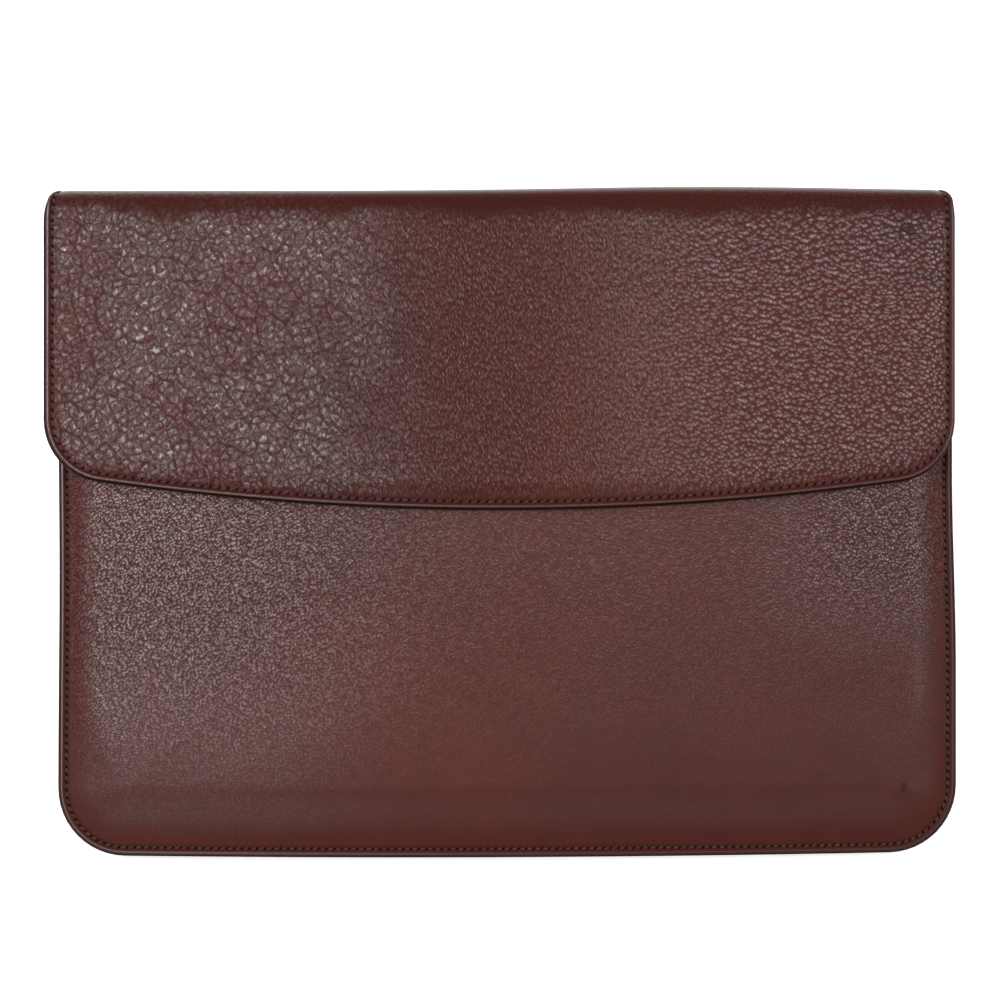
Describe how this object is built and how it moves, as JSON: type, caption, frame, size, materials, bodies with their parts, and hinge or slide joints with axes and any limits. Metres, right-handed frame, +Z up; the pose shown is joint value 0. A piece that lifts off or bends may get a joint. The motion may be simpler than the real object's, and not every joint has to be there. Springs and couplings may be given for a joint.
{
  "type": "laptop sleeve",
  "caption": "Padded leather laptop sleeve with a wide fold-over flap held shut by hidden magnets; a slim laptop slides in at the top.",
  "frame": {"origin": "middle of the closed sleeve's footprint, on the surface that its back lies on", "axes": "+X to the right of the front face, +Y towards the fold, +Z up out of the front face"},
  "size_m": [0.3482, 0.2553, 0.0237],
  "materials": {
    "leather": "satin, hand-dyed, grained",
    "facing_leather": "satin, smooth",
    "lining": "soft suede",
    "foam": "matt",
    "thread": "waxed",
    "magnet": "plated",
    "patch": "woven"
  },
  "bodies": {
    "sleeve": {"front_panel": "leather", "front_padding": "foam", "front_lining": "lining", "front_facing": "facing_leather", "back_panel": "leather", "back_padding": "foam", "back_lining": "lining", "back_facing": "facing_leather", "body_thread": "thread", "mouth_thread": "thread", "front_magnet_left": "magnet", "front_magnet_right": "magnet", "front_magnet_patch_left": "patch", "front_magnet_patch_right": "patch"},
    "spine": {"spine_panel": "leather", "spine_padding": "foam", "spine_lining": "lining", "spine_thread": "thread"},
    "flap": {"flap_panel": "leather", "flap_padding": "foam", "flap_lining": "lining", "flap_thread": "thread", "flap_magnet_left": "magnet", "flap_magnet_right": "magnet", "flap_magnet_patch_left": "patch", "flap_magnet_patch_right": "patch"}
  },
  "joints": [
    {"name": "back_crease", "type": "hinge", "parent": "sleeve", "child": "spine", "pos_m": [0, 0.12407, 0.00343], "axis": [-1, 0, 0], "range_deg": [0, 90]},
    {"name": "front_crease", "type": "hinge", "parent": "spine", "child": "flap", "pos_m": [0, 0.12407, 0.01997], "axis": [-1, 0, 0], "range_deg": [0, 90]}
  ]
}
